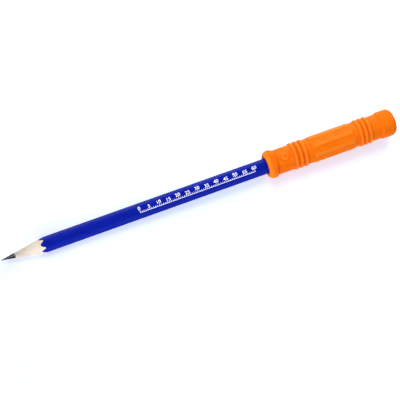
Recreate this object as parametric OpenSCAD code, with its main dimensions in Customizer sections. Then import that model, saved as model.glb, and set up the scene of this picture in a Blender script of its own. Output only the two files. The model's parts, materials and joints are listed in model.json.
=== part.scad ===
// Hexagon pencil with a chewable elastomer topper pushed over its blunt end.
// The pencil lies on the plane z = 0 as it does on a table: the front edge of its lacquer and the
// topper's collar touch the plane. +X runs from the point to the topper, and one flat faces up.

/* [Pencil] */
// Width across the flats, over the lacquer
barrel_flats = 7; // [6.4:0.1:8]
// How far each long corner is rounded back from the sharp hexagon
corner_cut = 0.21; // [0.05:0.01:0.4]
// Thickness of the lacquer on the sides
coat_t = 0.15; // [0.08:0.01:0.3]
// Diameter of the graphite core
core_d = 2.5; // [1.8:0.1:3.2]
// Full angle of the sharpened point
point_angle = 18.9; // [15:0.1:26]
// Radius of the worn tip of the core
tip_r = 0.12; // [0.05:0.01:0.4]
// Length from the tip to the topper's front face
open_l = 136.85; // [90:0.05:150]
// Length of the sealed coat on the blunt end
dip_l = 6; // [3:0.5:12]
// Thickness of that coat over the end grain
dip_t = 0.4; // [0.2:0.05:1]

/* [Foil scale] */
// Length from the tip to the first mark
scale_at = 70; // [40:1:75]
// Length of the scale
scale_l = 60; // [10:10:60]
// Distance between neighbouring marks
mark_pitch = 1; // [1:1:5]
// Width of one mark, along the pencil
mark_w = 0.22; // [0.15:0.01:0.4]
// Length of a plain mark, across the flat
mark_l = 0.7; // [0.4:0.05:0.9]
// Extra length of every tenth mark
mark_extra = 0.45; // [0.2:0.05:0.6]
// Width of the line that carries the marks
rule_w = 0.2; // [0.15:0.01:0.4]
// Distance from the flat's centre line to the line that carries the marks
rule_off = 1.25; // [1:0.05:1.35]
// Thickness of the foil
foil_t = 0.04; // [0.02:0.01:0.08]

/* [Topper fit] */
// Length of pencil inside the topper
insert_l = 38; // [25:1:50]
// Clearance all round between pencil and socket
fit_gap = 0.05; // [0.02:0.01:0.1]
// Clearance between the pencil's end and the socket's floor
seat_gap = 0.1; // [0.05:0.05:0.5]
// Radius of the socket's mouth in the front face
mouth_r = 4.4; // [4.1:0.1:4.5]
// Depth over which the mouth narrows to the socket
mouth_l = 1.3; // [0.6:0.1:2]

/* [Topper collar and waist] */
// Largest radius of the collar
collar_r = 7.05; // [6.9:0.05:8]
// Length of the collar
collar_l = 4.75; // [4.2:0.05:7]
// Rounding of the collar's front edge
collar_front_round = 2.4; // [1:0.1:2.4]
// Rounding of the collar's rear edge
collar_rear_round = 1.6; // [0.6:0.1:1.8]
// Radius of the plain shaft under the rings and flutes
shaft_r = 6.2; // [5.8:0.05:6.3]
// Length of plain waist between the collar and the first ring
waist_l = 8.75; // [7.6:0.05:12]
// Diameter of the raised round dot on the waist
dot_d = 3.8; // [3:0.1:5]
// Height of the dot above the waist
dot_rise = 0.5; // [0.2:0.05:0.8]
// Distance from the collar's rear to the dot's centre
dot_at = 4.4; // [2.8:0.1:4.5]
// Turn of the dot, and of one flute ridge, from the upper flat
dot_turn = -7.5; // [-30:0.5:30]

/* [Topper rings] */
// Rings in each group
ring_n = 3; // [2:1:4]
// Radius at the crest of a ring
ring_r = 6.8; // [6.4:0.05:7]
// Width of a ring at its foot
ring_w = 1.9; // [1.6:0.1:2.4]
// Distance between rings of the front group
front_pitch = 2.6; // [2.5:0.05:3.4]
// Distance between rings of the rear group
rear_pitch = 2.45; // [2.45:0.05:3.4]

/* [Topper fluted grip] */
// Plain length between the front rings and the grip
front_gap = 2.7; // [0.5:0.05:4]
// Length of the grip, with its shoulders
grip_l = 22.95; // [16:0.05:32]
// Radius of the grip between its flutes
grip_r = 6.65; // [6.4:0.05:7]
// Length of the shoulder that rises from the shaft at each end of the grip
shoulder_l = 0.95; // [0.5:0.05:2]
// Number of flutes round the grip
flute_n = 8; // [6:1:9]
// Depth of a flute, which runs out over both shoulders
flute_depth = 0.4; // [0.2:0.05:0.4]
// Radius of the hollow of a flute, seen from its end
flute_r = 17; // [8:1:30]
// Plain length between the grip and the rear rings
rear_gap = 2.4; // [0.5:0.05:4]

/* [Topper cap] */
// Plain neck between the rear rings and the flare
neck_l = 4.55; // [2:0.05:8]
// Length of the flare up to the cap
flare_l = 1.4; // [0.8:0.1:3]
// Radius of the cap
cap_r = 6.8; // [6.4:0.05:7.5]
// Length of the cap
cap_l = 7.5; // [5:0.1:10]
// Rounding of the cap's end
cap_round = 2.9; // [1:0.05:3]
// How deep the soft collar and cap are flattened where they lie
rest_flat = 0.1; // [0.05:0.05:0.3]

/* [Hidden] */
$fn = 96;
// Overlap that carries a cut clear through a face
over = 1;
// Smoothness of the flutes' wide hollows
hollow_fn = 180;

// Pencil sections: half the flats, and the radius of the rounded corners
half_flats = barrel_flats / 2;
corner_r = barrel_flats / sqrt(3) - corner_cut;
wood_flats = barrel_flats - 2 * coat_t;
wood_corner_r = corner_r - coat_t;
core_r = core_d / 2;

// Places along the pencil's axis, counted from the apex of the sharpened cone
half_point = point_angle / 2;
tip_centre = tip_r / sin(half_point);
tip_at = tip_centre - tip_r;
tip_blend = tip_centre - tip_r * sin(half_point);
collar_at = tip_at + open_l;
end_at = collar_at + insert_l;
wood_end = end_at - dip_t;
dip_at = end_at - dip_l;
socket_l = insert_l + seat_gap;

// Places along the topper, counted from its front face
front_rings = collar_l + waist_l;
grip_at = front_rings + ring_w + (ring_n - 1) * front_pitch + front_gap;
rear_rings = grip_at + grip_l + rear_gap;
flare_at = rear_rings + ring_w + (ring_n - 1) * rear_pitch + neck_l;
cap_at = flare_at + flare_l;
topper_l = cap_at + cap_l;
flute_run = min(front_gap, rear_gap) / 2;

// Radius of the arc that rises by a height over half of a width
function arc_r(half_w, rise) = (half_w * half_w + rise * rise) / (2 * rise);
ring_arc = arc_r(ring_w / 2, ring_r - shaft_r);

// The plane that flattens the topper's underside, from the rear of the collar's crown to the cap's
crown_end = collar_l - collar_rear_round;
cap_crown_end = topper_l - cap_round;
flat_slope = atan2(collar_r - cap_r, cap_crown_end - crown_end);
flat_r = collar_r - rest_flat;

// Where that plane meets the collar's front rounding, along the plane and then in place
round_off = [crown_end - collar_front_round, collar_front_round - rest_flat];
round_along = round_off[0] * cos(flat_slope) - round_off[1] * sin(flat_slope);
round_away = round_off[0] * sin(flat_slope) + round_off[1] * cos(flat_slope);
edge_back = round_along + sqrt(pow(collar_front_round, 2) - pow(round_away, 2));
edge_at = collar_at + crown_end - edge_back * cos(flat_slope);
edge_r = flat_r + edge_back * sin(flat_slope);

// Resting tilt: the line that touches the lacquer's front edge and the front of the collar's flat
front_touch = half_flats / tan(half_point);
rest_tilt = atan2(edge_r - half_flats, edge_at - front_touch);
rest_lift = half_flats * cos(rest_tilt) - front_touch * sin(rest_tilt);

// The middle of the length, so that the part is centred over the origin
end_flat_r = cap_r - cap_round;
rear_reach = (collar_at + topper_l) * cos(rest_tilt) + end_flat_r * sin(rest_tilt);
front_reach = tip_centre * cos(rest_tilt) - tip_r;
middle = (rear_reach + front_reach) / 2;

// Lays down what is drawn along +Z from the apex: local +X becomes up, local +Z becomes forward
module at_rest() {
    translate([-middle, 0, rest_lift])
        rotate([0, -rest_tilt, 0])
            rotate(a = 180, v = [1, 0, 1])
                children();
}

// Hexagon bar with one flat facing +X and its long corners rounded
module hex_bar(flats, round_r, from, to) {
    translate([0, 0, from])
        intersection() {
            rotate(30) cylinder(d = flats * 2 / sqrt(3), h = to - from, $fn = 6);
            cylinder(r = round_r, h = to - from);
        }
}

// Solid cone that the sharpener leaves, from the apex to past the barrel's front
module point_cone() {
    cone_l = end_at + over;
    cylinder(r1 = 0, r2 = cone_l * tan(half_point), h = cone_l);
}

// Bare wooden bar, bored for the core and sharpened
module wood_bar() {
    intersection() {
        difference() {
            hex_bar(wood_flats, wood_corner_r, 0, wood_end);
            translate([0, 0, -over]) cylinder(r = core_r, h = end_at + 2 * over);
        }
        point_cone();
    }
}

// One of the two glued slats; side is 1 for the upper and -1 for the lower
module wood_half(side) {
    intersection() {
        wood_bar();
        translate([side > 0 ? 0 : -barrel_flats, -barrel_flats, 0])
            cube([barrel_flats, 2 * barrel_flats, end_at]);
    }
}

module upper_wood_half() {
    color("wheat") at_rest() wood_half(1);
}

module lower_wood_half() {
    color("wheat") at_rest() wood_half(-1);
}

module graphite_core() {
    color("dimgray") at_rest() {
        intersection() {
            translate([0, 0, tip_blend]) cylinder(r = core_r, h = wood_end - tip_blend);
            point_cone();
        }
        translate([0, 0, tip_centre]) sphere(r = tip_r);
    }
}

module lacquer_coat() {
    color("mediumblue") at_rest()
        intersection() {
            difference() {
                hex_bar(barrel_flats, corner_r, 0, dip_at);
                hex_bar(wood_flats, wood_corner_r, -over, end_at);
            }
            point_cone();
        }
}

module end_dip() {
    color("navy") at_rest()
        difference() {
            hex_bar(barrel_flats, corner_r, dip_at, end_at);
            hex_bar(wood_flats, wood_corner_r, dip_at - over, wood_end);
        }
}

// Rule and marks stamped on the upper flat
module foil_scale() {
    last = floor(scale_l / mark_pitch);
    color("silver") at_rest()
        translate([half_flats, rule_off, tip_at + scale_at]) {
            translate([0, -rule_w / 2, -mark_w / 2]) cube([foil_t, rule_w, scale_l + mark_w]);
            for (i = [0:last]) {
                reach = mark_l + (i % 10 == 0 ? mark_extra : 0);
                translate([0, -reach, i * mark_pitch - mark_w / 2]) cube([foil_t, reach, mark_w]);
            }
        }
}

// Half section of the collar: a bead with a large front and a smaller rear rounding
module collar_section() {
    square([collar_r - collar_front_round, collar_l - collar_rear_round]);
    translate([0, collar_front_round])
        square([collar_r, collar_l - collar_front_round - collar_rear_round]);
    translate([0, collar_front_round])
        square([collar_r - collar_rear_round, collar_l - collar_front_round]);
    translate([collar_r - collar_front_round, collar_front_round]) circle(r = collar_front_round);
    translate([collar_r - collar_rear_round, collar_l - collar_rear_round])
        circle(r = collar_rear_round);
}

// Half section of one group of rings
module ring_section(from, pitch) {
    for (i = [0:ring_n - 1])
        translate([ring_r - ring_arc, from + ring_w / 2 + i * pitch]) circle(r = ring_arc);
}

// Half section of the grip: straight, with a sloping shoulder at both ends
module grip_section() {
    grip_end = grip_at + grip_l;
    polygon([[0, grip_at], [shaft_r, grip_at], [grip_r, grip_at + shoulder_l],
             [grip_r, grip_end - shoulder_l], [shaft_r, grip_end], [0, grip_end]]);
}

// Half section of the flared cap with its rounded end
module cap_section() {
    polygon([[0, flare_at], [shaft_r, flare_at], [cap_r, cap_at], [0, cap_at]]);
    translate([0, cap_at]) square([cap_r, cap_l - cap_round]);
    translate([0, cap_at]) square([end_flat_r, cap_l]);
    translate([end_flat_r, topper_l - cap_round]) circle(r = cap_round);
}

module topper_section() {
    intersection() {
        union() {
            collar_section();
            translate([0, collar_l / 2]) square([shaft_r, flare_at - collar_l / 2]);
            ring_section(front_rings, front_pitch);
            grip_section();
            ring_section(rear_rings, rear_pitch);
            cap_section();
        }
        square([collar_r + cap_r, topper_l]);
    }
}

// What one flute removes: a wide hollow along the grip, open at both ends
module flute_cut() {
    translate([grip_r - flute_depth + flute_r, 0, grip_at - flute_run])
        cylinder(r = flute_r, h = grip_l + 2 * flute_run, $fn = hollow_fn);
}

module raised_dot() {
    intersection() {
        translate([0, 0, collar_l + dot_at])
            rotate([0, 90, 0]) cylinder(d = dot_d, h = shaft_r + over);
        cylinder(r = shaft_r + dot_rise, h = topper_l);
    }
}

// Everything under the plane that the topper lies on
module rest_cut() {
    reach = 2 * topper_l;
    translate([-flat_r, 0, crown_end])
        rotate([0, flat_slope, 0])
            translate([-collar_r, -collar_r - over, -reach / 2])
                cube([collar_r, 2 * (collar_r + over), reach]);
}

// Cone that widens the socket at the front face and guides the pencil in
module mouth_cut() {
    widen = (mouth_r - half_flats) / mouth_l;
    translate([0, 0, -over]) cylinder(r1 = mouth_r + over * widen, r2 = half_flats, h = mouth_l + over);
}

module topper() {
    color("darkorange") at_rest()
        translate([0, 0, collar_at])
            difference() {
                union() {
                    rotate_extrude() topper_section();
                    rotate(dot_turn) raised_dot();
                }
                for (i = [0:flute_n - 1])
                    rotate(dot_turn + (i + 0.5) * 360 / flute_n) flute_cut();
                hex_bar(barrel_flats + 2 * fit_gap, corner_r + fit_gap, -over, socket_l);
                mouth_cut();
                rest_cut();
            }
}

topper();
lacquer_coat();
upper_wood_half();
lower_wood_half();
graphite_core();
end_dip();
foil_scale();
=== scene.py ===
"""Looks of a hexagon pencil with a chewable elastomer topper pushed over its blunt end.

Sizes are in millimetres, counted along the pencil's own axis from the apex of its sharpened cone.
Every new piece is a surface worked out with numpy and placed by the axis that the frame gives.
"""
import json
import logging
import math
from dataclasses import dataclass, field
from enum import Enum

import bpy
import numpy as np
from mathutils import Matrix, Vector


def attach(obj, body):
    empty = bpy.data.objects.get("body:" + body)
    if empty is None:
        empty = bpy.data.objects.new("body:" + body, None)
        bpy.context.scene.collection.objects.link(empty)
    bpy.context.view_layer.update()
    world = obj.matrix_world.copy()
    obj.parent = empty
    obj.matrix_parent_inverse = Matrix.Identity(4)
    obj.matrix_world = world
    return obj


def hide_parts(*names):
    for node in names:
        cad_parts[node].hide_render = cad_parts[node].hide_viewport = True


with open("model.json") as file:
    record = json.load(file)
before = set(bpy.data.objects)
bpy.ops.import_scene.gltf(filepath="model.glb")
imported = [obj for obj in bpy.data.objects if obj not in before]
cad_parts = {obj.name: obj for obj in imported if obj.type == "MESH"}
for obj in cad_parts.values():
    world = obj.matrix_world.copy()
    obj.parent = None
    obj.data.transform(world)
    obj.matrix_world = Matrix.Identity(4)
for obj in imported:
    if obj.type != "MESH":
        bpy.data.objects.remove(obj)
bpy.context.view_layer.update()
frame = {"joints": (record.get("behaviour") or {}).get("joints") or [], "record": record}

LOG = logging.getLogger("pencil")
MM = 0.001
LOCAL = "local_mm"
RELIEF = "relief"
ROUND = 2.0 * math.pi
QUARTER = math.pi / 2.0
SIXTH = math.pi / 3.0
ROOT_3 = math.sqrt(3.0)

# Numbers of the colour sockets on the Mix node
MIX_LOW, MIX_HIGH, MIX_OUT = 6, 7, 2

Triple = tuple[float, float, float]
Colour = Triple
Shares = tuple[float, ...]
Array = np.ndarray
Socket = bpy.types.NodeSocket


class Body(str, Enum):
    """The bodies that a piece can ride on."""

    PENCIL = "pencil"
    TOPPER = "topper"


class Slot(str, Enum):
    """The record's material slots."""

    ELASTOMER = "elastomer"
    LACQUER = "lacquer"
    WOOD = "wood"
    GRAPHITE = "graphite"
    END_COAT = "end_coat"
    FOIL = "foil"


class Slat(Enum):
    """The two glued slats of wood, by the sign of their height."""

    UPPER = 1
    LOWER = -1


class Step(Enum):
    """Distance between rows of a surface, in millimetres."""

    FINE = 0.13
    MEDIUM = 0.28
    COARSE = 0.7


class Easing(Enum):
    """How a ramp climbs, by the names that its node uses."""

    STRAIGHT = "LINEAR"
    SMOOTH = "SMOOTHSTEP"


@dataclass(frozen=True)
class PencilAxis:
    """The pencil's axis at rest: where its apex is, and its three directions in the row frame."""

    apex: Array
    along: Array
    up: Array
    side: Array

    @classmethod
    def from_frame(cls, reach: float) -> "PencilAxis":
        """Reads the axis from the record's slide joint and its cap_end mount.

        Args:
            reach: Distance from the apex to the middle of the cap's end, in millimetres.

        Returns:
            The axis, with up leaning away from the floor and side pointing to -Y.
        """
        along = np.array(frame["joints"][0]["axis"], float)
        along /= np.linalg.norm(along)
        end = next(m for m in frame["record"]["mounts"] if m["name"] == "cap_end")
        side = np.array([0.0, -1.0, 0.0])
        return cls(np.array(end["pos_m"]) - along * reach * MM, along, np.cross(along, -side), side)

    def place(self, local: Array) -> Array:
        """Carries points given as (along, height, side) in millimetres into the row frame."""
        return self.apex + MM * (local @ np.stack([self.along, self.up, self.side]))


def polar(s: Array, r: Array, turn: Array) -> Array:
    """Points round the axis: (s, r cos turn, r sin turn), with turn from the upper flat to the side."""
    s, r, turn = np.broadcast_arrays(s, r, turn)
    return np.stack([s, r * np.cos(turn), r * np.sin(turn)], axis=-1)


def ladder(top: float, count: int, skip: int = 0) -> Array:
    """Even steps from 0 to a top, as a column, without the first few."""
    return np.linspace(0.0, top, count)[skip:, None]


def column(shares: Shares) -> Array:
    """Numbers as a column, one for each row of a surface."""
    return np.array(shares)[:, None]


def between(start: Array, stop: Array, share: Array) -> Array:
    """Values from start to stop, by a share from 0 to 1."""
    return start + share * (stop - start)


def smooth_max(a: Array, b: Array, blend: float) -> Array:
    """The larger of two values, with the crossing rounded: half of a + b + sqrt((a-b)^2 + blend^2)."""
    return 0.5 * (a + b + np.sqrt((a - b) ** 2 + blend**2))


def smooth_step(x: Array) -> Array:
    """Rises from 0 to 1 as x does, by the cubic 3x^2 - 2x^3."""
    x = np.clip(x, 0.0, 1.0)
    return x * x * (3.0 - 2.0 * x)


def bell(x: Array) -> Array:
    """Bell curve of height 1 and spread 1: exp(-x^2 / 2)."""
    return np.exp(-0.5 * x**2)


def waves(turn: Array, parts: tuple[Triple, ...]) -> Array:
    """Sum of sine waves round the axis, each by its count, start and size, over the sum of sizes."""
    total = sum(size for _, _, size in parts)
    return sum(size * np.sin(count * turn + start) for count, start, size in parts) / total


def point_numbers(grid: Array) -> Array:
    """Numbers of a grid's points, by row and column."""
    return np.arange(grid[..., 0].size).reshape(grid.shape[:2])


def grid_quads(numbers: Array) -> Array:
    """Faces between the rows of a grid of point numbers, whose columns close on themselves."""
    low, high = numbers[:-1], numbers[1:]
    return np.stack([low, np.roll(low, -1, 1), np.roll(high, -1, 1), high], axis=-1).reshape(-1, 4)


def pole_fan(pole: int, row: Array) -> Array:
    """Triangles that close a row of point numbers on one pole."""
    return np.stack([np.full(len(row), pole), row, np.roll(row, -1)], axis=-1)


@dataclass
class Shape:
    """A closed surface: local points, faces, and how far each point stands out of the plain form."""

    points: Array
    quads: Array
    triangles: Array = field(default_factory=lambda: np.zeros((0, 3), int))
    relief: Array | None = None

    @classmethod
    def capped(cls, grid: Array, start: float, stop: float, relief: Array | None = None) -> "Shape":
        """Closes a grid of rows with a pole on the axis at each end.

        Args:
            grid: Points with shape (rows, columns, 3).
            start: Where the pole before the first row lies along the axis.
            stop: Where the pole after the last row lies.
            relief: One value for each point of the grid.

        Returns:
            The closed shape.
        """
        numbers = point_numbers(grid)
        points = np.concatenate([grid.reshape(-1, 3), [[start, 0.0, 0.0], [stop, 0.0, 0.0]]])
        fans = [pole_fan(numbers.size, numbers[0])[:, [0, 2, 1]],
                pole_fan(numbers.size + 1, numbers[-1])]
        if relief is not None:
            relief = np.append(relief, [0.0, 0.0])
        return cls(points, grid_quads(numbers), np.concatenate(fans), relief)

    @classmethod
    def ring(cls, grid: Array, relief: Array) -> "Shape":
        """Closes a grid whose last row joins its first, as on a tube with walls."""
        numbers = point_numbers(grid)
        return cls(grid.reshape(-1, 3), grid_quads(np.vstack([numbers, numbers[:1]])), relief=relief)

    def volume(self) -> float:
        """Six times the enclosed volume, positive where the faces point outwards."""
        corners = np.concatenate([self.quads[:, :3], self.quads[:, [0, 2, 3]], self.triangles])
        return float(np.linalg.det(self.points[corners]).sum())

    def faces(self) -> list[list[int]]:
        """All faces, turned so that they point outwards."""
        step = 1 if self.volume() > 0 else -1
        return self.quads[:, ::step].tolist() + self.triangles[:, ::step].tolist()


def new_object(name: str, data: bpy.types.ID) -> bpy.types.Object:
    """Puts data into the scene as an object at the origin.

    Args:
        name: Name of the object.
        data: Its mesh, curve, lamp or camera.

    Returns:
        The object.
    """
    made = bpy.data.objects.new(name, data)
    bpy.context.scene.collection.objects.link(made)
    return made


def keep_local(mesh: bpy.types.Mesh, local: Array) -> None:
    """Keeps each point's local place on the mesh, for its finish to read."""
    kept = mesh.attributes.new(LOCAL, "FLOAT_VECTOR", "POINT")
    kept.data.foreach_set("vector", local.astype(np.float32).ravel())


def make_piece(name: str, shape: Shape, axis: PencilAxis, crease: float) -> bpy.types.Object:
    """Puts a shape into a mesh object that sits at the origin.

    Args:
        name: Name of the piece.
        shape: Its closed surface, in local millimetres.
        axis: What places it in the row frame.
        crease: Angle in degrees above which an edge stays sharp.

    Returns:
        The object, with its local places and its relief kept as attributes.
    """
    mesh = bpy.data.meshes.new(name)
    mesh.from_pydata(axis.place(shape.points).tolist(), [], shape.faces())
    keep_local(mesh, shape.points)
    if shape.relief is not None:
        kept = mesh.attributes.new(RELIEF, "FLOAT", "POINT")
        kept.data.foreach_set("value", shape.relief.astype(np.float32).ravel())
    mesh.shade_smooth()
    mesh.set_sharp_from_angle(angle=math.radians(crease))
    return new_object(name, mesh)


def mount_piece(piece: bpy.types.Object, material: bpy.types.Material, body: Body, slot: Slot,
                *nodes: str) -> None:
    """Gives a piece its finish and its place in the frame, and reports it.

    Args:
        piece: The finished mesh.
        material: Its finish.
        body: What it moves with.
        slot: The record's slot for its finish; not used.
        nodes: The solids that it stands for.
    """
    piece.data.materials.clear()
    piece.data.materials.append(material)
    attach(piece, body.value)
    if nodes:
        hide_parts(*nodes)
    LOG.info("%s: %d points, rides on %s", piece.name, len(piece.data.vertices), body.value)


@dataclass(frozen=True)
class Grain:
    """Noise in a finish: cells for each millimetre, detail, stretch of each direction, distortion."""

    scale: float
    detail: float = 3.0
    stretch: Triple = (1.0, 1.0, 1.0)
    distort: float = 0.0


@dataclass(frozen=True)
class Ramp:
    """A climb from a low to a high level between two values, level outside them."""

    start: float
    stop: float
    low: float = 0.0
    high: float = 1.0
    easing: Easing = Easing.STRAIGHT


@dataclass(frozen=True)
class Bump:
    """How strongly a height bends the light, and how deep it is in millimetres."""

    strength: float
    depth: float


class NodeBench:
    """A cleared node tree, with short calls that add and join its nodes."""

    def __init__(self, owner: bpy.types.Material | bpy.types.World) -> None:
        """Clears the tree of a material or a world.

        Args:
            owner: What the tree belongs to.
        """
        owner.use_nodes = True
        self.tree = owner.node_tree
        self.tree.nodes.clear()

    def feed(self, target: Socket, value: Socket | Colour | float) -> None:
        """Links an output to an input, or sets the input to a constant.

        Args:
            target: The input.
            value: The output or the constant; a colour is made opaque.
        """
        if isinstance(value, Socket):
            self.tree.links.new(value, target)
        else:
            target.default_value = (*value, 1.0) if target.type == "RGBA" else value

    def add(self, kind: str, inputs: dict[str | int, Socket | Colour | float] | None = None,
            **settings: str) -> bpy.types.Node:
        """Adds a node.

        Args:
            kind: Its type, without the word that the types of all shader nodes begin with.
            inputs: Outputs or constants, by the names or numbers of the inputs that they go to.
            settings: The node's own properties.

        Returns:
            The node.
        """
        node = self.tree.nodes.new("ShaderNode" + kind)
        for key, value in settings.items():
            setattr(node, key, value)
        for key, value in (inputs or {}).items():
            self.feed(node.inputs[key], value)
        return node

    def math(self, kind: str, a: Socket, b: Socket) -> Socket:
        """One arithmetic step between two values."""
        return self.add("Math", {0: a, 1: b}, operation=kind).outputs["Value"]

    def part(self, place: Socket, direction: str) -> Socket:
        """One of a place's three components."""
        return self.add("SeparateXYZ", {"Vector": place}).outputs[direction]

    def span(self, value: Socket, ramp: Ramp) -> Socket:
        """The level of a ramp at a value."""
        inputs = {"Value": value, "From Min": ramp.start, "From Max": ramp.stop,
                  "To Min": ramp.low, "To Max": ramp.high}
        return self.add("MapRange", inputs, interpolation_type=ramp.easing.value).outputs["Result"]

    def mix(self, share: Socket, low: Socket | Colour, high: Socket | Colour) -> Socket:
        """A colour between two, by a share from 0 to 1."""
        inputs = {"Factor": share, MIX_LOW: low, MIX_HIGH: high}
        return self.add("Mix", inputs, data_type="RGBA").outputs[MIX_OUT]

    def seen_rays(self) -> Socket:
        """Tells the rays that see a surface from those that light the object.

        Returns:
            1 for camera, glossy and transmission rays, and 0 for the others.
        """
        path = self.add("LightPath").outputs
        shown = self.math("MAXIMUM", path["Is Camera Ray"], path["Is Glossy Ray"])
        return self.math("MAXIMUM", shown, path["Is Transmission Ray"])


class FinishBench(NodeBench):
    """The tree of one material, with a Principled shader and the piece's own attributes."""

    def __init__(self, name: str) -> None:
        """Makes the material with its shader and its end.

        Args:
            name: The material's name.
        """
        self.material = bpy.data.materials.new(name)
        super().__init__(self.material)
        self.shader = self.add("BsdfPrincipled")
        self.end = self.add("OutputMaterial", {"Surface": self.shader.outputs["BSDF"]})

    def local(self, stretch: Triple = (1.0, 1.0, 1.0)) -> Socket:
        """The piece's local place in millimetres, each direction times its stretch."""
        place = self.add("Attribute", attribute_name=LOCAL).outputs["Vector"]
        return self.add("Mapping", {"Vector": place, "Scale": stretch}).outputs["Vector"]

    def relief(self, ramp: Ramp) -> Socket:
        """The level of a ramp at how far the surface stands out of its plain form."""
        return self.span(self.add("Attribute", attribute_name=RELIEF).outputs["Fac"], ramp)

    def noise(self, grain: Grain, place: Socket | None = None) -> Socket:
        """Noise over the piece, read at its local places if no others are given."""
        inputs = {"Vector": place or self.local(grain.stretch), "Scale": grain.scale,
                  "Detail": grain.detail, "Distortion": grain.distort}
        return self.add("TexNoise", inputs).outputs["Fac"]

    def patch(self, grain: Grain, ramp: Ramp) -> Socket:
        """The level of a ramp at a noise over the piece."""
        return self.span(self.noise(grain), ramp)

    def cone_lines(self, layer: float) -> Socket:
        """Height and side over the distance from the apex: the same all along a line of the cone.

        Args:
            layer: Where to cut the noise that these places are meant for.

        Returns:
            The places, with the layer first.
        """
        x, y, z = self.add("SeparateXYZ", {"Vector": self.local()}).outputs
        inputs = {"X": layer, "Y": self.math("DIVIDE", y, x), "Z": self.math("DIVIDE", z, x)}
        return self.add("CombineXYZ", inputs).outputs["Vector"]

    def normal(self, height: Socket, bump: Bump) -> Socket:
        """The surface's normal, bent by a height."""
        inputs = {"Strength": bump.strength, "Distance": bump.depth * MM, "Height": height}
        return self.add("Bump", inputs).outputs["Normal"]

    def dress(self, **inputs: Socket | Colour | float) -> bpy.types.Material:
        """Feeds the shader.

        Args:
            inputs: Outputs or constants, by input; an underscore stands for a space.

        Returns:
            The material.
        """
        for key, value in inputs.items():
            self.feed(self.shader.inputs[key.replace("_", " ")], value)
        return self.material


@dataclass(frozen=True)
class ElastomerFinish:
    """Orange chewable elastomer: satin, slightly cloudy, and lit from within by red light."""

    deep: Colour = (0.94, 0.108, 0.0022)
    pale: Colour = (0.97, 0.296, 0.0067)
    # Painted highlight: a paler colour for ring crests, the lands between the flutes and the collar's
    # rim.
    crest: Colour = (1.0, 0.278, 0.022)
    # Painted shade: a darker colour for the hollows between rings, the collar's foot and the flutes.
    hollow: Colour = (0.78, 0.122, 0.0024)
    cloud: Grain = Grain(0.35, 4.0, (0.5, 1.0, 1.0))
    cloud_share: Ramp = Ramp(0.3, 0.7, 0.28, 0.48)
    crest_share: Ramp = Ramp(0.13, 0.20, 0.0, 0.6)
    hollow_share: Ramp = Ramp(-0.26, -0.02, 1.0, 0.0)
    sheen: Grain = Grain(1.6)
    satin: Ramp = Ramp(0.3, 0.7, 0.30, 0.42)
    skin: Grain = Grain(5.0, 2.0)
    skin_bump: Bump = Bump(0.25, 0.02)
    scatter_radius: Colour = (1.0, 0.12, 0.03)
    scatter_depth: float = 1.5
    scatter_weight: float = 0.3
    specular: float = 0.03

    def material(self) -> bpy.types.Material:
        """Clouds the colour at the scale of the mould's flow, darkens hollows with painted shade and
        lightens crests with a painted highlight.

        Returns:
            The finish as a material.
        """
        bench = FinishBench("elastomer")
        base = bench.mix(bench.patch(self.cloud, self.cloud_share), self.deep, self.pale)
        # Painted shade on whatever lies below its surroundings.
        base = bench.mix(bench.relief(self.hollow_share), base, self.hollow)
        return bench.dress(
            # Painted highlight on whatever stands above its surroundings.
            Base_Color=bench.mix(bench.relief(self.crest_share), base, self.crest),
            Roughness=bench.patch(self.sheen, self.satin),
            Normal=bench.normal(bench.noise(self.skin), self.skin_bump),
            Subsurface_Weight=self.scatter_weight, Subsurface_Radius=self.scatter_radius,
            Subsurface_Scale=self.scatter_depth * MM, Specular_IOR_Level=self.specular)


@dataclass(frozen=True)
class LacquerFinish:
    """Deep blue pencil lacquer, dipped in thin coats and drawn through a seal along its length."""

    name: str = "lacquer"
    deep: Colour = (0.0009, 0.0087, 0.300)
    bright: Colour = (0.0018, 0.0128, 0.365)
    # Paler blue for the long corners: partly rubbed wear, partly a painted highlight.
    rubbed: Colour = (0.011, 0.029, 0.46)
    streak: Grain = Grain(1.4, 3.0, (0.03, 1.0, 1.0))
    cloud: Grain = Grain(0.4, 2.0, (0.3, 1.0, 1.0))
    tone: Ramp = Ramp(0.7, 1.3)
    corner: Ramp = Ramp(0.3, 1.0)
    wear: Grain = Grain(1.1, 3.0, (0.25, 1.0, 1.0))
    wear_share: Ramp = Ramp(0.35, 0.75, 0.1, 0.8)
    gloss: Ramp = Ramp(0.3, 0.7, 0.22, 0.34)
    long_peel: Grain = Grain(1.8, 2.0, (0.05, 1.0, 1.0))
    short_peel: Grain = Grain(2.5, 1.0, (0.5, 1.0, 1.0))
    peel_bump: Bump = Bump(0.2, 0.02)
    specular: float = 0.04

    def material(self) -> bpy.types.Material:
        """Streaks the colour along the barrel, and makes it paler on the long corners, partly as rubbed
        wear and partly as a painted highlight.

        Returns:
            The finish as a material.
        """
        bench = FinishBench(self.name)
        cloud = bench.noise(self.cloud)
        tone = bench.span(bench.math("ADD", bench.noise(self.streak), cloud), self.tone)
        # Corner mask for the rubbed wear and the painted highlight.
        rub_and_highlight = bench.math("MULTIPLY", bench.relief(self.corner), bench.patch(self.wear, self.wear_share))
        peel = bench.math("ADD", bench.noise(self.long_peel), bench.noise(self.short_peel))
        return bench.dress(
            Base_Color=bench.mix(rub_and_highlight, bench.mix(tone, self.deep, self.bright), self.rubbed),
            Roughness=bench.span(cloud, self.gloss),
            Normal=bench.normal(peel, self.peel_bump), Specular_IOR_Level=self.specular)


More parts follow.
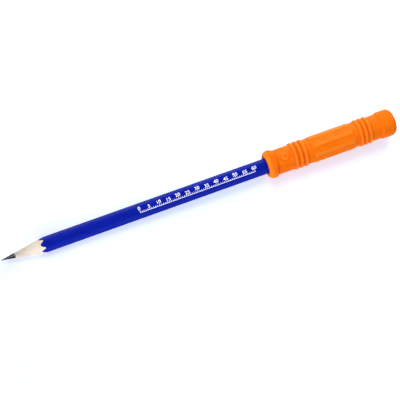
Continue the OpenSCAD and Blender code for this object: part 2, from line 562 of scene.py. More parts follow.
@dataclass(frozen=True)
class WoodFinish:
    """Pale soft wood cut by a sharpener: cream with peach and straw patches and fine grain."""

    cream: Colour = (0.85, 0.75, 0.63)
    peach: Colour = (0.86, 0.67, 0.52)
    straw: Colour = (0.86, 0.78, 0.56)
    line: Colour = (0.62, 0.48, 0.36)
    smudge: Colour = (0.36, 0.32, 0.29)
    peach_patch: Grain = Grain(0.9, 2.0, (0.22, 0.6, 0.6))
    peach_share: Ramp = Ramp(0.42, 0.62, 0.0, 0.8)
    straw_patch: Grain = Grain(0.7, 2.0, (0.3, 0.8, 0.8), 0.6)
    straw_share: Ramp = Ramp(0.52, 0.68, 0.0, 0.7)
    fibre: Grain = Grain(1.6, 5.0, (0.07, 3.0, 3.0), 0.3)
    line_share: Ramp = Ramp(0.56, 0.78, 0.0, 0.55)
    dust: Grain = Grain(1.2, 3.0, (0.15, 1.6, 1.6))
    dust_share: Ramp = Ramp(0.35, 0.7, 0.45, 1.0)
    dust_along: Ramp = Ramp(6.0, 17.0, 1.0, 0.0)
    matt: Ramp = Ramp(0.3, 0.7, 0.62, 0.82)
    fibre_bump: Bump = Bump(0.35, 0.03)
    specular: float = 0.2

    def material(self) -> bpy.types.Material:
        """Lays patches, then grain lines along the wood, then graphite dust near the core.

        Returns:
            The finish as a material.
        """
        bench = FinishBench("wood")
        fibre = bench.noise(self.fibre)
        near = bench.span(bench.part(bench.local(), "X"), self.dust_along)
        dusty = bench.math("MULTIPLY", near, bench.patch(self.dust, self.dust_share))
        base = bench.mix(bench.patch(self.peach_patch, self.peach_share), self.cream, self.peach)
        base = bench.mix(bench.patch(self.straw_patch, self.straw_share), base, self.straw)
        base = bench.mix(bench.span(fibre, self.line_share), base, self.line)
        return bench.dress(
            Base_Color=bench.mix(dusty, base, self.smudge), Roughness=bench.span(fibre, self.matt),
            Normal=bench.normal(fibre, self.fibre_bump), Specular_IOR_Level=self.specular)


@dataclass(frozen=True)
class GraphiteFinish:
    """Sharpened graphite: dark, with pale streaks down the cone that are partly burnished graphite and
    partly a painted highlight.
    """

    dark: Colour = (0.002, 0.002, 0.003)
    # Pale streak colour: burnished graphite that also stands in for a painted highlight.
    burnished: Colour = (0.26, 0.26, 0.27)
    # Chosen so that a pale streak runs along the cone's upper middle, where it acts as a painted
    # highlight.
    layer: float = 0.2
    streak: Grain = Grain(11.0, 2.0)
    streak_share: Ramp = Ramp(0.50, 0.60)
    gloss: Ramp = Ramp(0.35, 0.7, 0.30, 0.16)
    clay: Grain = Grain(7.0, 2.0)
    bump: Bump = Bump(0.3, 0.02)
    specular: float = 0.25

    def material(self) -> bpy.types.Material:
        """Streaks colour and gloss along the cone; the pale streaks also serve as a painted highlight.

        Returns:
            The finish as a material.
        """
        bench = FinishBench("graphite")
        streak = bench.noise(self.streak, bench.cone_lines(self.layer))
        height = bench.math("ADD", streak, bench.noise(self.clay))
        return bench.dress(
            Base_Color=bench.mix(bench.span(streak, self.streak_share), self.dark, self.burnished),
            Roughness=bench.span(streak, self.gloss),
            Normal=bench.normal(height, self.bump), Specular_IOR_Level=self.specular)


@dataclass(frozen=True)
class FoilFinish:
    """Silver foil stamped into the lacquer, a little worn and uneven."""

    silver: Colour = (0.90, 0.90, 0.93)
    thin: Colour = (0.52, 0.53, 0.66)
    worn: Grain = Grain(2.6, 4.0)
    worn_share: Ramp = Ramp(0.50, 0.72, 0.0, 0.8)
    polish: Ramp = Ramp(0.3, 0.7, 0.30, 0.5)
    stamp: Grain = Grain(6.0)
    stamp_bump: Bump = Bump(0.15, 0.01)
    metal: float = 0.5

    def material(self) -> bpy.types.Material:
        """Lets the coat below dull the foil in small patches.

        Returns:
            The finish as a material.
        """
        bench = FinishBench("foil")
        worn = bench.noise(self.worn)
        return bench.dress(
            Base_Color=bench.mix(bench.span(worn, self.worn_share), self.silver, self.thin),
            Roughness=bench.span(worn, self.polish),
            Normal=bench.normal(bench.noise(self.stamp), self.stamp_bump), Metallic=self.metal)


@dataclass(frozen=True)
class HexSection:
    """A hexagon with one flat facing up and its long corners rounded by a tangent arc."""

    flats: float
    corner_r: float

    @property
    def half(self) -> float:
        """Distance from the axis to a flat."""
        return self.flats / 2.0

    @property
    def fillet(self) -> float:
        """Radius of the arc that brings the sharp corner back to corner_r."""
        return (self.flats / ROOT_3 - self.corner_r) / (2.0 / ROOT_3 - 1.0)

    @property
    def flat_angle(self) -> float:
        """Angle from the middle of a flat to where its arc begins, in radians."""
        return math.atan((self.half - self.fillet) * math.tan(SIXTH / 2.0) / self.half)

    def off_flat(self, turn: Array) -> Array:
        """Angle from the middle of the nearest flat."""
        return np.abs((turn + SIXTH / 2.0) % SIXTH - SIXTH / 2.0)

    def radius(self, turn: Array) -> Array:
        """Distance from the axis to the outline.

        On a flat it is half the flats over the cosine of the angle from the flat's middle. On a
        corner it is where a ray meets an arc whose centre lies on the corner's own ray.

        Args:
            turn: Angle round the axis, in radians.

        Returns:
            The radius at each angle.
        """
        off = self.off_flat(turn)
        centre = (self.half - self.fillet) * 2.0 / ROOT_3
        from_corner = SIXTH / 2.0 - off
        inner = np.maximum(self.fillet**2 - (centre * np.sin(from_corner)) ** 2, 0.0)
        arc = centre * np.cos(from_corner) + np.sqrt(inner)
        return np.where(off <= self.flat_angle, self.half / np.cos(off), arc)

    def height(self, side: Array) -> Array:
        """Height of the upper flat, less fillet - sqrt(fillet^2 - d^2) at d past the flat's end."""
        past = np.maximum(np.abs(side) - self.half * math.tan(self.flat_angle), 0.0)
        return self.half - self.fillet + np.sqrt(self.fillet**2 - past**2)

    def corner_share(self, turn: Array) -> Array:
        """0 on the flats, rising to 1 in the middle of each rounded corner."""
        past = self.off_flat(turn) - self.flat_angle
        return smooth_step(past / (SIXTH / 2.0 - self.flat_angle))

    def turns(self, on_flat: int, on_corner: int) -> Array:
        """Angles round the outline, closer together on the corners.

        Args:
            on_flat: Steps across one flat.
            on_corner: Steps round one corner.

        Returns:
            The angles of one full round, from minus half a flat upwards.
        """
        flat = np.linspace(-self.flat_angle, self.flat_angle, on_flat, endpoint=False)
        corner = np.linspace(self.flat_angle, SIXTH - self.flat_angle, on_corner, endpoint=False)
        one = np.concatenate([flat, corner])
        return (np.arange(6)[:, None] * SIXTH + one[None, :]).ravel()


@dataclass
class Pencil:
    """The sharpened hexagon pencil: lacquer, two slats, graphite core and dipped end."""

    flats: float = 7.0
    corner_cut: float = 0.21
    coat_t: float = 0.15
    core_d: float = 2.5
    core_wave: float = 0.035
    core_waves: tuple[Triple, ...] = ((2.0, 0.6, 1.0), (5.0, 2.0, 0.6))
    point_angle: float = 18.9
    tip_r: float = 0.12
    open_l: float = 136.85
    insert_l: float = 38.0
    dip_l: float = 6.0
    dip_t: float = 0.4
    dip_round: float = 0.5
    feather: float = 0.012
    chip: float = 0.22
    chip_waves: tuple[Triple, ...] = ((4.0, 0.9, 1.0), (9.0, 2.4, 0.8), (17.0, 0.0, 0.6))
    hair_gap: float = 0.004
    crease: float = 40.0
    flat_steps: int = 8
    corner_steps: int = 14
    lip_shares: Shares = (0.0, 0.0006, 0.002, 0.006)
    coat_from: float = 0.02
    coat_rows: int = 26
    slat_columns: int = 97
    cone_rows: int = 22
    bar_rows: int = 16
    core_columns: int = 72
    tip_rows: int = 9
    lead_rows: int = 40
    rod_rows: int = 8
    dip_rows: int = 8
    dip_round_rows: int = 9
    dip_floor: Shares = (0.3, 0.7, 1.0)
    dip_face: Shares = (0.7, 0.3)
    dip_finish: LacquerFinish = LacquerFinish("end_coat", (0.003, 0.010, 0.26), (0.005, 0.016, 0.31))

    @property
    def half_point(self) -> float:
        """Angle between the axis and the sharpened cone, in radians."""
        return math.radians(self.point_angle / 2.0)

    @property
    def slope(self) -> float:
        """Rise of the sharpened cone for each millimetre along it."""
        return math.tan(self.half_point)

    @property
    def tip_centre(self) -> float:
        """Distance from the apex to the centre of the worn tip."""
        return self.tip_r / math.sin(self.half_point)

    @property
    def collar_at(self) -> float:
        """Distance from the apex to the topper's front face."""
        return self.tip_centre - self.tip_r + self.open_l

    @property
    def end_at(self) -> float:
        """Distance from the apex to the blunt end."""
        return self.collar_at + self.insert_l

    @property
    def wood_end(self) -> float:
        """Distance from the apex to the end of wood and core."""
        return self.end_at - self.dip_t - self.hair_gap

    @property
    def coat(self) -> HexSection:
        """Outline of the lacquer."""
        return HexSection(self.flats, self.flats / ROOT_3 - self.corner_cut)

    @property
    def bar(self) -> HexSection:
        """Outline of the bare wood under the lacquer."""
        return HexSection(self.flats - 2.0 * self.coat_t, self.coat.corner_r - self.coat_t)

    def skins(self) -> tuple[Array, Array, Array]:
        """Angles round the lacquer, with its outer and its inner radius at each."""
        turn = self.coat.turns(self.flat_steps, self.corner_steps)
        return turn, self.coat.radius(turn), self.bar.radius(turn) + self.hair_gap

    def core_radius(self, turn: Array) -> Array:
        """Radius of the core, with slow waves round it as a pressed core has."""
        return self.core_d / 2.0 * (1.0 + self.core_wave * waves(turn, self.core_waves))

    def chips(self, turn: Array) -> Array:
        """How far the sharpener has chipped the lacquer back, from waves round the edge."""
        return self.chip * smooth_step(0.5 + waves(turn, self.chip_waves) / 2.0)

    def lacquer(self) -> Shape:
        """Tube of lacquer whose front edge follows the sharpened cone.

        A point of the outer skin lies at the hexagon's radius r, from r / slope along the axis to
        the dipped end. The inner skin runs back the same way on the bare wood's hexagon.

        Returns:
            The closed tube, with the corner's share as relief.
        """
        turn, outer, inner = self.skins()
        even = np.linspace(self.coat_from, 1.0, self.coat_rows)
        share = np.concatenate([self.lip_shares, even])[:, None]
        front, rear = self.chips(turn), self.end_at - self.dip_l
        skin = polar(between(outer / self.slope + front, rear, share), outer, turn)
        back = polar(between(inner / self.slope + front, rear, share)[::-1], inner, turn)
        grid = np.concatenate([skin, back])
        return Shape.ring(grid, np.broadcast_to(self.coat.corner_share(turn), grid.shape[:2]))

    def slat(self, which: Slat) -> Shape:
        """One of the two glued slats, grooved for the core and cut to the cone.

        Its outer skin follows the cone from the core's radius to the hexagon's, then the hexagon to
        the end. Its groove follows the core. The two close on the seam through the axis.

        Args:
            which: The upper or the lower slat.

        Returns:
            The closed slat.
        """
        half = np.linspace(-QUARTER, QUARTER, self.slat_columns)
        turn = half if which is Slat.UPPER else half + math.pi
        groove, hexagon = self.core_radius(turn) + self.hair_gap, self.bar.radius(turn)
        cone_r = between(groove + self.feather, hexagon, ladder(1.0, self.cone_rows))
        bar_s = between(hexagon / self.slope, self.wood_end, ladder(1.0, self.bar_rows, 1))
        outer_s = np.concatenate([cone_r / self.slope, bar_s])
        outer_r = np.concatenate([cone_r, np.broadcast_to(hexagon, bar_s.shape)])
        share = (outer_s - outer_s[0]) / (outer_s[-1] - outer_s[0])
        inner_s = between(groove / self.slope, self.wood_end, share)
        loop = np.concatenate([polar(outer_s, outer_r, turn),
                               polar(inner_s, groove, turn)[:, ::-1]], axis=1)
        loop[..., 1] += which.value * self.hair_gap
        rows, cols = loop.shape[:2]
        j = np.arange(cols // 2 - 1)
        front = np.stack([j, cols - 1 - j, cols - 2 - j, j + 1], axis=-1)
        rear = (rows - 1) * cols + front[:, [0, 3, 2, 1]]
        quads = np.concatenate([grid_quads(point_numbers(loop)), front, rear])
        return Shape(loop.reshape(-1, 3), quads)

    def graphite(self) -> Shape:
        """The core: a worn round tip, the sharpened cone, then a rod to the end of the wood.

        Returns:
            The closed core.
        """
        turn = np.linspace(0.0, ROUND, self.core_columns, endpoint=False)
        rod = self.core_radius(turn)
        swing = ladder(QUARTER - self.half_point, self.tip_rows, 1)
        tip_r = self.tip_r * np.sin(swing)
        cone_r = between(tip_r[-1], rod, ladder(1.0, self.lead_rows, 1))
        rod_s = between(rod / self.slope, self.wood_end, ladder(1.0, self.rod_rows, 1))
        rows = [polar(self.tip_centre - self.tip_r * np.cos(swing), tip_r, turn),
                polar(cone_r / self.slope, cone_r, turn), polar(rod_s, rod, turn)]
        return Shape.capped(np.concatenate(rows), self.tip_centre - self.tip_r, self.wood_end)

    def dipped_end(self) -> Shape:
        """Cap of sealing lacquer over the end grain, with its rim rounded by a quarter arc.

        Returns:
            The closed cap, with the corner's share as relief.
        """
        turn, outer, inner = self.skins()
        front, floor = self.end_at - self.dip_l + self.hair_gap, self.end_at - self.dip_t
        swing = ladder(QUARTER, self.dip_round_rows, 1)
        round_at, face_r = self.end_at - self.dip_round, outer - self.dip_round
        rows = [polar(floor, column(self.dip_floor) * inner, turn),
                polar(front, inner[None], turn),
                polar(between(front, round_at, ladder(1.0, self.dip_rows)), outer, turn),
                polar(round_at + self.dip_round * np.sin(swing),
                      face_r + self.dip_round * np.cos(swing), turn),
                polar(self.end_at, column(self.dip_face) * face_r, turn)]
        grid = np.concatenate(rows)
        relief = np.broadcast_to(self.coat.corner_share(turn), grid.shape[:2])
        return Shape.capped(grid, floor, self.end_at, relief)

    def build(self, axis: PencilAxis) -> None:
        """Makes, dresses and mounts every piece of the pencil.

        Args:
            axis: The pencil's axis at rest.
        """
        coat, wood = LacquerFinish().material(), WoodFinish().material()
        lead, dip = GraphiteFinish().material(), self.dip_finish.material()
        rows = [("barrel_lacquer", self.lacquer(), coat, Slot.LACQUER, "lacquer_coat"),
                ("upper_slat", self.slat(Slat.UPPER), wood, Slot.WOOD, "upper_wood_half"),
                ("lower_slat", self.slat(Slat.LOWER), wood, Slot.WOOD, "lower_wood_half"),
                ("graphite_lead", self.graphite(), lead, Slot.GRAPHITE, "graphite_core"),
                ("dipped_end", self.dipped_end(), dip, Slot.END_COAT, "end_dip")]
        for name, shape, material, slot, node in rows:
            mount_piece(make_piece(name, shape, axis, self.crease), material, Body.PENCIL, slot, node)


@dataclass
class FoilScale:
    """Silver millimetre scale stamped on the upper flat: a rule, its marks and plain numbers."""

    pencil: Pencil
    axis: PencilAxis
    start: float = 70.0
    length: float = 60.0
    pitch: float = 1.0
    mark_w: float = 0.22
    mark_l: float = 0.7
    mark_extra: float = 0.45
    long_every: int = 10
    rule_w: float = 0.2
    rule_off: float = 1.25
    foil_t: float = 0.04
    sunk: float = 0.02
    figure_every: int = 5
    figure_h: float = 1.6
    figure_off: float = 0.15
    figure_bold: float = 0.012
    figure_half: float = 0.5
    stretch: float = 1.1
    crease: float = 30.0

    @property
    def mark_n(self) -> int:
        """Number of marks, with those at both ends."""
        return int(self.length / self.pitch) + 1

    def place(self, count: Array) -> Array:
        """Where a mark lies along the pencil, by its count from the scale's zero."""
        return self.pencil.collar_at - self.pencil.open_l + self.start + self.pitch * count

    def edge(self, count: Array) -> Array:
        """How far to the side a mark begins; every tenth mark is longer."""
        return self.rule_off - (self.mark_l + self.mark_extra * (count % self.long_every == 0))

    def boxes(self, low: Array, high: Array) -> Shape:
        """Closed boxes between pairs of corners.

        Args:
            low: Lowest corners, one row for each box.
            high: Highest corners.

        Returns:
            All the boxes as one shape.
        """
        pick = np.array([[0, 0, 0], [1, 0, 0], [1, 1, 0], [0, 1, 0],
                         [0, 0, 1], [1, 0, 1], [1, 1, 1], [0, 1, 1]])
        sides = np.array([[0, 3, 2, 1], [4, 5, 6, 7], [0, 1, 5, 4],
                          [1, 2, 6, 5], [2, 3, 7, 6], [3, 0, 4, 7]])
        points = np.where(pick[None] == 1, high[:, None], low[:, None]).reshape(-1, 3)
        quads = np.arange(len(low))[:, None, None] * len(pick) + sides[None]
        return Shape(points, quads.reshape(-1, 4))

    def marks(self) -> Shape:
        """The rule and its marks.

        Returns:
            The foil's boxes.
        """
        floor, top = self.pencil.coat.half - self.sunk, self.pencil.coat.half + self.foil_t
        count, same = np.arange(self.mark_n), np.ones(self.mark_n)
        centre = self.place(count)
        half, inner = self.mark_w / 2.0, self.rule_off - self.rule_w / 2.0
        low = np.stack([centre - half, floor * same, self.edge(count)], axis=-1)
        high = np.stack([centre + half, top * same, inner * same], axis=-1)
        rule_low = [centre[0] - half, floor, inner]
        rule_high = [centre[-1] + half, top, inner + self.rule_w]
        return self.boxes(np.vstack([low, rule_low]), np.vstack([high, rule_high]))

    def figure(self, number: int) -> bpy.types.Object:
        """One plain number above its mark, laid over the flat and the arc that it runs into.

        Args:
            number: The number.

        Returns:
            The number as a thin raised mesh.
        """
        curve = bpy.data.curves.new(f"figure_{number}", "FONT")
        curve.body = str(number)
        curve.align_x = "CENTER"
        curve.extrude = self.figure_half
        curve.offset = self.figure_bold
        maker = new_object("maker", curve)
        graph = bpy.context.evaluated_depsgraph_get()
        mesh = bpy.data.meshes.new_from_object(maker.evaluated_get(graph))
        bpy.data.objects.remove(maker)
        flat = np.zeros(len(mesh.vertices) * 3, np.float32)
        mesh.vertices.foreach_get("co", flat)
        x, y, z = flat.reshape(-1, 3).T.astype(float)
        scale = self.figure_h / y.max()
        side = self.edge(number) - self.figure_off - scale * y
        rise = (z + self.figure_half) * (self.sunk + self.foil_t)
        height = self.pencil.coat.height(side) - self.sunk + rise
        local = np.stack([self.place(number) + scale * self.stretch * x, height, side], axis=-1)
        mesh.vertices.foreach_set("co", self.axis.place(local).astype(np.float32).ravel())
        keep_local(mesh, local)
        mesh.update()
        return new_object(f"scale_number_{number}", mesh)

    def build(self) -> None:
        """Makes the marks and the numbers, and dresses them in foil."""
        foil = FoilFinish().material()
        marks = make_piece("scale_marks", self.marks(), self.axis, self.crease)
        mount_piece(marks, foil, Body.PENCIL, Slot.FOIL, "foil_scale")
        for number in range(0, self.mark_n, self.figure_every):
            mount_piece(self.figure(number), foil, Body.PENCIL, Slot.FOIL)


@dataclass
class Topper:
    """The chewable topper: collar, waist with a raised dot, rings, fluted grip, neck and flared cap.

    Places are distances behind the collar's front face.
    """

    fit_gap: float = 0.05
    seat_gap: float = 0.1
    mouth_r: float = 4.4
    mouth_l: float = 1.3
    collar_r: float = 7.05
    collar_l: float = 4.75
    collar_fall: float = 4.0
    front_round: float = 2.4
    rear_round: float = 1.6
    shaft_r: float = 6.2
    waist_l: float = 8.75
    dot_d: float = 3.8
    dot_rise: float = 0.5
    dot_at: float = 4.4
    dot_turn: float = -7.5
    dot_edge: float = 0.3
    ring_n: int = 3
    ring_r: float = 6.8
    ring_w: float = 1.9
    ring_fall: float = 2.0
    front_pitch: float = 2.6
    rear_pitch: float = 2.45
    front_gap: float = 2.7
    grip_l: float = 22.95
    grip_r: float = 6.65
    shoulder_l: float = 0.95
    flute_n: int = 8
    flute_depth: float = 0.4
    flute_r: float = 17.0
    rear_gap: float = 2.4
    neck_l: float = 4.55
    flare_l: float = 1.4
    cap_r: float = 6.8
    cap_l: float = 7.5
    cap_round: float = 2.9
    rest_flat: float = 0.1
    fillet: float = 0.08
    relief_reach: float = 0.7
    # Relief given to the collar's front round, which the finish paints as a highlight on the rim.
    rim_relief: float = 0.25
    # Weight of the lands between the flutes in the relief, which the finish paints as a highlight.
    ridge_gain: float = 3.0
    crease: float = 75.0
    columns: int = 26
    crowd: float = 0.45
    collar_margin: float = 0.5
    bend_margin: float = 0.4
    grip_margin: float = 0.3
    flare_margin: float = 0.6
    socket_rows: int = 26
    mouth_rows: int = 7
    front_rows: int = 13
    cap_rows: int = 15
    socket_floor: Shares = (0.35, 0.75, 1.0)
    cap_face: Shares = (0.8, 0.5, 0.2)

    @property
    def crown(self) -> float:
        """Where the collar begins to fall to the waist."""
        return self.collar_l - self.rear_round

    @property
    def front_rings(self) -> float:
        """Where the front group of rings begins."""
        return self.collar_l + self.waist_l

    @property
    def grip_at(self) -> float:
        """Where the grip begins."""
        group = self.ring_w + (self.ring_n - 1) * self.front_pitch
        return self.front_rings + group + self.front_gap

    @property
    def rear_rings(self) -> float:
        """Where the rear group of rings begins."""
        return self.grip_at + self.grip_l + self.rear_gap

    @property
    def flare_at(self) -> float:
        """Where the flare begins."""
        return self.rear_rings + self.ring_w + (self.ring_n - 1) * self.rear_pitch + self.neck_l

    @property
    def cap_at(self) -> float:
        """Where the cap begins."""
        return self.flare_at + self.flare_l

    @property
    def length(self) -> float:
        """Length of the whole topper."""
        return self.cap_at + self.cap_l

    @property
    def dot_angle(self) -> float:
        """Angle of the dot round the axis, in radians."""
        return math.radians(self.dot_turn)

    def ring_bumps(self, s: Array, start: float, pitch: float) -> Array:
        """Radius of one group of rings.

        Each ring is an arc of a circle through its crest and its foot, and falls away past its foot.

        Args:
            s: Distances behind the collar's front face.
            start: Where the first ring begins.
            pitch: Distance between rings.

        Returns:
            The radius at each distance.
        """
        half, rise = self.ring_w / 2.0, self.ring_r - self.shaft_r
        arc = (half**2 + rise**2) / (2.0 * rise)
        crests = start + half + np.arange(self.ring_n) * pitch
        off = np.abs(s[:, None] - crests[None, :]).min(axis=1)
        inner = np.minimum(off, half)
        return self.ring_r - arc + np.sqrt(arc**2 - inner**2) - self.ring_fall * (off - inner)

    def climb(self, share: Array, top: float) -> Array:
        """A slope from the shaft to a top radius as share goes from 0 to 1, level after a round edge."""
        slope = between(self.shaft_r, top, share)
        return -smooth_max(-slope, np.full_like(slope, -top), self.fillet)

    def inside_grip(self, s: Array) -> Array:
        """Distance from the nearer end of the grip, negative outside it."""
        return self.grip_l / 2.0 - np.abs(s - self.grip_at - self.grip_l / 2.0)

    def turned_radius(self, s: Array) -> Array:
        """Radius of the turned form, without dot and flutes.

        It is the rounded maximum of the collar's arc, the shaft, the two groups of rings, the grip
        with its sloping shoulders, and the flare that ends in the cap.

        Args:
            s: Distances behind the collar's front face.

        Returns:
            The radius at each distance.
        """
        past = np.clip(s - self.crown, 0.0, self.rear_round)
        radius = self.collar_r - self.rear_round + np.sqrt(self.rear_round**2 - past**2)
        radius = radius - self.collar_fall * np.maximum(s - self.collar_l, 0.0)
        forms = [np.full_like(s, self.shaft_r),
                 self.ring_bumps(s, self.front_rings, self.front_pitch),
                 self.climb(self.inside_grip(s) / self.shoulder_l, self.grip_r),
                 self.ring_bumps(s, self.rear_rings, self.rear_pitch),
                 self.climb((s - self.flare_at) / self.flare_l, self.cap_r)]
        for form in forms:
            radius = smooth_max(radius, form, self.fillet)
        return radius

    def flute_cut(self, s: Array, turn: Array, body: Array) -> Array:
        """Depth that the flutes take off the grip.

        A flute's floor is a hollow of a wide radius along the whole grip, open at both ends. Across
        it the distance from the axis is c cos(a) - sqrt(r^2 - c^2 sin(a)^2), where c is the distance
        to the hollow's own axis and a the angle from the flute's middle.

        Args:
            s: Distances behind the collar's front face, as a column.
            turn: Angles round the axis, as a row.
            body: Radius of the turned form, as a column.

        Returns:
            The depth at each point.
        """
        pitch = ROUND / self.flute_n
        off = (turn - self.dot_angle) % pitch - pitch / 2.0
        centre = self.grip_r - self.flute_depth + self.flute_r
        floor = centre * np.cos(off) - np.sqrt(self.flute_r**2 - (centre * np.sin(off)) ** 2)
        depth = np.maximum(body + smooth_max(-body, -floor, self.fillet / 2.0), 0.0)
        return depth * (self.inside_grip(s) > 0.0)

    def dot_bump(self, s: Array, turn: Array) -> Array:
        """Height of the raised round dot: a disc on the waist with a soft rim."""
        away = np.hypot(s - self.collar_l - self.dot_at, self.shaft_r * (turn - self.dot_angle))
        return self.dot_rise * smooth_step(((self.dot_d + self.dot_edge) / 2.0 - away) / self.dot_edge)

    def rest_depth(self, s: Array) -> Array:
        """How far under the axis the plane lies that flattens the underside of the collar and cap."""
        fall = (self.collar_r - self.cap_r) / (self.length - self.cap_round - self.crown)
        return self.collar_r - self.rest_flat - (s - self.crown) * fall

    def high_pass(self, s: Array, turn: Array, radius: Array) -> Array:
        """How far each point stands above the surface round it; the finish paints a highlight where this
        is high and shade where it is low.

        The surface round a point is the mean of the radius under a bell curve of relief_reach. What
        differs along the topper counts as it is. What stands out round it, as the narrow lands
        between the flutes do, counts ridge_gain times.

        Args:
            s: Distances of the rows.
            turn: Angles of the columns.
            radius: Distance from the axis at each row and column.

        Returns:
            The height of each point above those means.
        """
        along = s[:, None] - s[None, :]
        across = (turn[:, None] - turn[None, :] + math.pi) % ROUND - math.pi
        rows = bell(along / self.relief_reach) * np.gradient(s)[None, :]
        cols = bell(across * self.shaft_r / self.relief_reach) * np.gradient(np.unwrap(turn))[None, :]
        rows /= rows.sum(axis=1, keepdims=True)
        cols /= cols.sum(axis=1, keepdims=True)
        stands = np.maximum(radius - radius @ cols.T, 0.0)
        return radius - rows @ radius + self.ridge_gain * stands

    def stations(self) -> Array:
        """Distances of the rows on the turned form, closer together where it bends.

        Returns:
            The distances, from the end of the front's rounding to the start of the cap's.
        """
        dot, reach = self.collar_l + self.dot_at, self.dot_d / 2.0 + self.dot_edge
        grip_end, bend = self.grip_at + self.grip_l, self.shoulder_l + self.bend_margin
        marks = [(self.front_round, Step.MEDIUM), (self.crown, Step.FINE),
                 (self.collar_l + self.collar_margin, Step.MEDIUM), (dot - reach, Step.FINE),
                 (dot + reach, Step.MEDIUM), (self.front_rings - self.bend_margin, Step.FINE),
                 (self.grip_at - self.front_gap + self.bend_margin, Step.MEDIUM),
                 (self.grip_at - self.grip_margin, Step.FINE), (self.grip_at + bend, Step.COARSE),
                 (grip_end - bend, Step.FINE), (grip_end + self.grip_margin, Step.MEDIUM),
                 (self.rear_rings - self.bend_margin, Step.FINE),
                 (self.flare_at - self.neck_l + self.bend_margin, Step.COARSE),
                 (self.flare_at - self.flare_margin, Step.FINE),
                 (self.cap_at + self.flare_margin, Step.COARSE),
                 (self.length - self.cap_round, Step.COARSE)]
        rows = [np.linspace(a, b, max(2, round((b - a) / step.value)), endpoint=False)
                for (a, step), (b, _) in zip(marks, marks[1:])]
        return np.append(np.concatenate(rows), marks[-1][0])

    def turns(self) -> Array:
        """Angles of the columns, crowded round the ridges between flutes.

        Returns:
            The angles of one full round, from the far side of the dot.
        """
        share = np.arange(self.columns) / self.columns
        warped = share - self.crowd * np.sin(ROUND * share) / ROUND
        sector = np.arange(self.flute_n)[:, None] + warped[None, :]
        return self.dot_angle - math.pi + sector.ravel() * (ROUND / self.flute_n)

    def shape(self, pencil: Pencil) -> Shape:
        """The whole topper as one skin: socket floor, socket wall, mouth, front face, outside, end.

        Args:
            pencil: What the socket fits.

        Returns:
            The closed shape, with the height of each point above its surroundings as relief.
        """
        turn, s = self.turns(), self.stations()
        socket = HexSection(pencil.flats + 2.0 * self.fit_gap, pencil.coat.corner_r + self.fit_gap)
        wall, depth = socket.radius(turn), pencil.insert_l + self.seat_gap
        throat = self.mouth_l * (self.mouth_r - wall) / (self.mouth_r - pencil.flats / 2.0)
        deep, widen = ladder(1.0, self.socket_rows, 1)[:-1], ladder(1.0, self.mouth_rows)
        swing, bend = ladder(QUARTER, self.front_rows)[:-1], ladder(QUARTER, self.cap_rows, 1)
        edge, flat_r = self.collar_r - self.front_round, self.cap_r - self.cap_round
        body = self.turned_radius(s)[:, None]
        skin = body + self.dot_bump(s[:, None], turn) - self.flute_cut(s[:, None], turn, body)
        rows = [(polar(depth, column(self.socket_floor) * wall, turn), 0.0),
                (polar(between(depth, throat, deep), wall, turn), 0.0),
                (polar(throat * (1.0 - widen), between(wall, self.mouth_r, widen), turn), 0.0),
                # The front round gets made-up relief, so that the finish paints a highlight on the
                # collar's rim.
                (polar(self.front_round * (1.0 - np.cos(swing)),
                       edge + self.front_round * np.sin(swing), turn),
                 self.rim_relief * np.sin(2.0 * swing)),
                (polar(s[:, None], skin, turn), self.high_pass(s, turn, skin)),
                (polar(self.length - self.cap_round + self.cap_round * np.sin(bend),
                       flat_r + self.cap_round * np.cos(bend), turn), 0.0),
                (polar(self.length, column(self.cap_face) * flat_r, turn), 0.0)]
        grid = np.concatenate([points for points, _ in rows])
        raised = [np.broadcast_to(high, points.shape[:2]) for points, high in rows]
        grid[..., 1] = np.maximum(grid[..., 1], -self.rest_depth(grid[..., 0]))
        grid[..., 0] += pencil.collar_at
        ends = pencil.collar_at + depth, pencil.collar_at + self.length
        return Shape.capped(grid, *ends, np.concatenate(raised))

    def build(self, pencil: Pencil, axis: PencilAxis) -> None:
        """Makes, dresses and mounts the topper."""
        piece = make_piece("topper_moulding", self.shape(pencil), axis, self.crease)
        mount_piece(piece, ElastomerFinish().material(), Body.TOPPER, Slot.ELASTOMER, "topper")


@dataclass(frozen=True)
class Softbox:
    """A round lamp that faces the origin; level is the white that it gives a surface that faces it.

    Distances are in metres.
    """

    name: str
    towards: Triple
    away: float
    across: float
    level: float
    colour: Colour

    def build(self) -> None:
        """Hangs the lamp and sets its power from its level and distance."""
        light = bpy.data.lights.new(self.name, "AREA")
        light.shape = "DISK"
        light.size = self.across
        light.color = self.colour
        light.energy = math.pi**2 * self.away**2 * self.level
        lamp = new_object(self.name, light)
        towards = Vector(self.towards).normalized()
        lamp.location = towards * self.away
        lamp.rotation_mode = "QUATERNION"
        lamp.rotation_quaternion = towards.to_track_quat("Z", "Y")


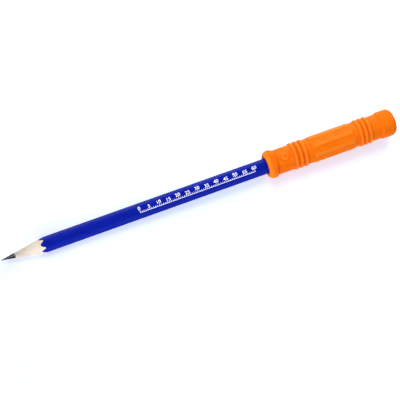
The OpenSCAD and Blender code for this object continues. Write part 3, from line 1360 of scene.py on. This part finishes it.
@dataclass(frozen=True)
class Studio:
    """White table, two soft lamps beyond the pencil and one before it, and even light all round.

    Distances are in metres.
    """

    floor_half: float = 3.0
    floor_drop: float = 0.00002
    floor_white: Colour = (0.85, 0.85, 0.85)
    floor_rough: float = 0.9
    floor_glow: Colour = (0.305, 0.365, 0.455)
    point_glow: Colour = (0.145, 0.17, 0.25)
    point_reach: Ramp = Ramp(-0.105, -0.065)
    far_glow: Colour = (0.7, 0.7, 0.7)
    glow_reach: Ramp = Ramp(0.25, 0.9)
    lamps: tuple[Softbox, ...] = (
        Softbox("high_softbox", (-0.05, 0.46, 1.0), 0.6, 0.26, 0.30, (1.03, 0.99, 0.93)),
        Softbox("far_softbox", (0.55, 0.72, 0.48), 0.35, 0.2, 0.54, (1.03, 0.99, 0.93)),
        Softbox("near_softbox", (-0.75, -0.62, 0.22), 0.6, 0.26, 0.55, (1.06, 0.97, 0.95)))
    wall: Colour = (0.387, 0.423, 0.477)
    ceiling: Colour = (0.306, 0.342, 0.396)
    ceiling_share: Ramp = Ramp(0.2, 0.9, easing=Easing.SMOOTH)
    window_from: Triple = (-0.6, -0.8, 0.0)
    window_level: Ramp = Ramp(-1.0, 1.0, 0.6, 2.0)
    white: Colour = (1.0, 1.0, 1.0)

    def floor(self) -> None:
        """A wide table top whose glow lifts it to white for the rays that see it, more so far away."""
        half, low = self.floor_half, -self.floor_drop
        corners = [(-half, -half, low), (half, -half, low), (half, half, low), (-half, half, low)]
        mesh = bpy.data.meshes.new("table")
        mesh.from_pydata(corners, [], [(0, 1, 2, 3)])
        bench = FinishBench("table")
        place = bench.add("TexCoord").outputs["Object"]
        away = bench.add("VectorMath", {0: place}, operation="LENGTH").outputs["Value"]
        beside = bench.span(bench.part(place, "X"), self.point_reach)
        near = bench.mix(beside, self.point_glow, self.floor_glow)
        colour = bench.mix(bench.span(away, self.glow_reach), near, self.far_glow)
        glow = bench.add("Emission", {"Color": colour, "Strength": bench.seen_rays()})
        both = bench.add("AddShader", {0: bench.shader.outputs["BSDF"], 1: glow.outputs["Emission"]})
        bench.feed(bench.end.inputs["Surface"], both.outputs["Shader"])
        mesh.materials.append(bench.dress(Base_Color=self.floor_white, Roughness=self.floor_rough,
                                          Specular_IOR_Level=0.0))
        table = new_object("table", mesh)

    def world(self) -> None:
        """Room light that fades into a dimmer ceiling; rays that see it find plain white."""
        room = bpy.data.worlds.new("room")
        bench = NodeBench(room)
        place = bench.add("TexCoord").outputs["Generated"]
        facing = bench.add("VectorMath", {0: place, 1: self.window_from}, operation="DOT_PRODUCT")
        strength = bench.span(facing.outputs["Value"], self.window_level)
        share = bench.span(bench.part(place, "Z"), self.ceiling_share)
        colour = bench.mix(share, self.wall, self.ceiling)
        light = bench.add("Background", {"Color": colour, "Strength": strength})
        plain = bench.add("Background", {"Color": self.white})
        choice = bench.add("MixShader", {"Fac": bench.seen_rays(), 1: light.outputs["Background"],
                                         2: plain.outputs["Background"]})
        bench.add("OutputWorld", {"Surface": choice.outputs["Shader"]})
        bpy.context.scene.world = room

    def build(self) -> None:
        """Sets the table, the lamps and the surround."""
        self.floor()
        for lamp in self.lamps:
            lamp.build()
        self.world()


@dataclass(frozen=True)
class PhotoCamera:
    """Camera above the pencil, a little nearer its point, turned so that the pencil climbs to the right.

    Angles are in degrees and distances in millimetres, apart from the clipping range in metres.
    """

    lean: float = 12.07
    tilt: float = 5.5
    roll: float = 19.69
    away: float = 849.4
    lens: float = 158.12
    sensor: float = 36.0
    clip_from: float = 0.01
    clip_to: float = 20.0
    aim_at: float = 100.0
    aim_along: float = 0.82
    aim_below: float = 4.80

    def build(self, axis: PencilAxis) -> None:
        """Places the camera by its lean along the pencil and its tilt across it.

        The line from the object to the camera starts as the upper flat's normal, tilts to the side and
        leans to the point. The picture is then rolled round that line.

        Args:
            axis: The pencil's axis at rest.
        """
        lean, tilt, roll = (math.radians(a) for a in (self.lean, self.tilt, self.roll))
        lifted = math.cos(tilt) * axis.up + math.sin(tilt) * axis.side
        back = math.cos(lean) * lifted - math.sin(lean) * axis.along
        level = axis.along - (axis.along @ back) * back
        level /= np.linalg.norm(level)
        rise = np.cross(back, level)
        right = level * math.cos(roll) - rise * math.sin(roll)
        above = rise * math.cos(roll) + level * math.sin(roll)
        aim = self.aim_at * axis.along + self.aim_along * level - self.aim_below * rise
        eye = axis.apex + MM * aim + MM * self.away * back
        data = bpy.data.cameras.new("photo_camera")
        data.sensor_width = self.sensor
        data.lens = self.lens
        data.clip_start, data.clip_end = self.clip_from, self.clip_to
        camera = new_object("photo_camera", data)
        turn = np.stack([right, above, back], axis=-1)
        camera.matrix_world = Matrix.Translation(Vector(eye)) @ Matrix(turn.tolist()).to_4x4()
        bpy.context.scene.camera = camera


def main() -> None:
    """Builds the camera, the studio, the pencil, its scale and the topper."""
    logging.basicConfig(level=logging.INFO, format="%(name)s %(message)s")
    bpy.context.scene.view_settings.view_transform = "Standard"
    pencil, topper = Pencil(), Topper()
    axis = PencilAxis.from_frame(pencil.collar_at + topper.length)
    PhotoCamera().build(axis)
    Studio().build()
    pencil.build(axis)
    FoilScale(pencil, axis).build()
    topper.build(pencil, axis)


if __name__ == "__main__":
    main()
